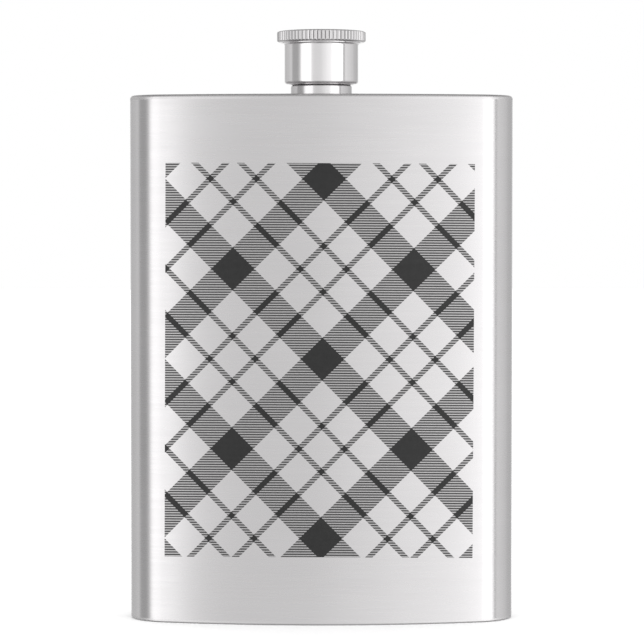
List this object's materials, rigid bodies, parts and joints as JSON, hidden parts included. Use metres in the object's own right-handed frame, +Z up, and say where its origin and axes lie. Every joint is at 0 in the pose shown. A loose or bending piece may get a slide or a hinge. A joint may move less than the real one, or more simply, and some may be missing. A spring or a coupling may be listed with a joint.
{
  "type": "hip flask",
  "caption": "Slim curved hip flask in brushed steel with a printed plaid front, a threaded neck and a knurled cap that unscrews and lifts off.",
  "frame": {"origin": "centre of the flask's footprint box, on the surface that it stands on", "axes": "+Z up along the flask, +X across its width, to the right as seen from the printed front; the bulging front faces -Y and the hollowed back faces +Y"},
  "size_m": [0.0952, 0.0276, 0.1461],
  "materials": {
    "printed_steel": "fine horizontal brushing, with a black plaid printed on the bare steel",
    "shell_steel": "fine horizontal brushing",
    "plate_steel": "satin, polished at the rim",
    "neck_steel": "turned and polished",
    "cap_steel": "polished, straight knurl on the rim",
    "insert_plastic": "moulded, satin",
    "seal_silicone": "matte silicone"
  },
  "bodies": {
    "flask": {"front_shell": "printed_steel", "back_shell": "shell_steel", "top_plate": "plate_steel", "bottom_plate": "plate_steel", "neck_spout": "neck_steel"},
    "seal": {"sealing_disc": "seal_silicone"},
    "cap": {"cap_barrel": "cap_steel", "cap_knurled_top": "cap_steel", "cap_threaded_insert": "insert_plastic"}
  },
  "joints": [
    {"name": "cap_lift", "type": "slide", "parent": "flask", "child": "seal", "axis": [0, 0, 1], "range_m": [0, 0.016]},
    {"name": "cap_turn", "type": "hinge", "parent": "seal", "child": "cap", "pos_m": [0, -0.0026, 0.1302], "axis": [0, 0, 1], "range_deg": [0, 2880]}
  ],
  "couplings": [
    {"joint": "cap_lift", "follows": "cap_turn", "m_per_rad": 0.00031831}
  ]
}
